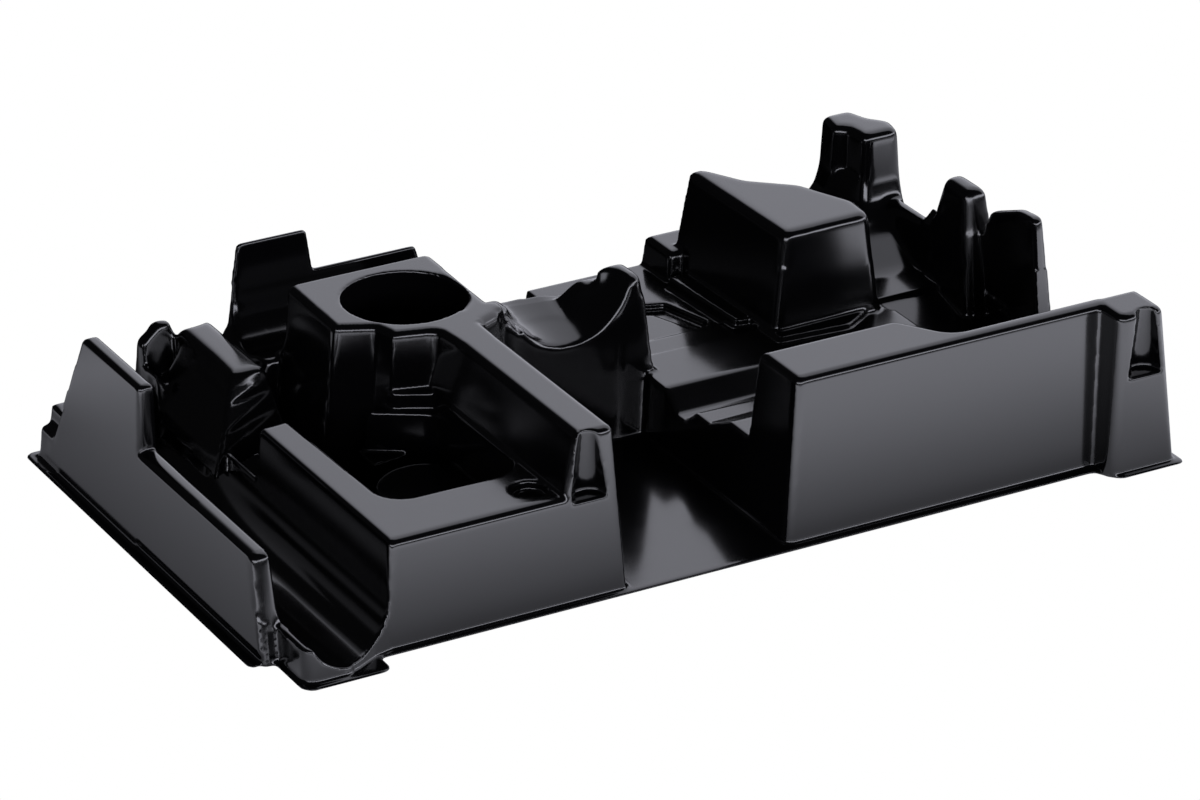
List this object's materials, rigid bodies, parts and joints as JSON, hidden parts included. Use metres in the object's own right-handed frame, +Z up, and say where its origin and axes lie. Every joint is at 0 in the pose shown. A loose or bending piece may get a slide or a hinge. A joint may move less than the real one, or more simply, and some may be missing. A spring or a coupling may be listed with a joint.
{
  "type": "thermoformed case insert tray",
  "caption": "Thermoformed black plastic tray with troughs, a deep pocket, a round socket and a stepped bed, made to hold a power tool and its parts in a case.",
  "frame": {"origin": "centre of the bounding box on the table, under the flange", "axes": "+X along the long side to the right, +Y to the back, +Z up"},
  "size_m": [0.38, 0.22, 0.071],
  "materials": {
    "gloss_plastic": "gloss"
  },
  "bodies": {
    "root": {"tray": "gloss_plastic"}
  },
  "joints": []
}
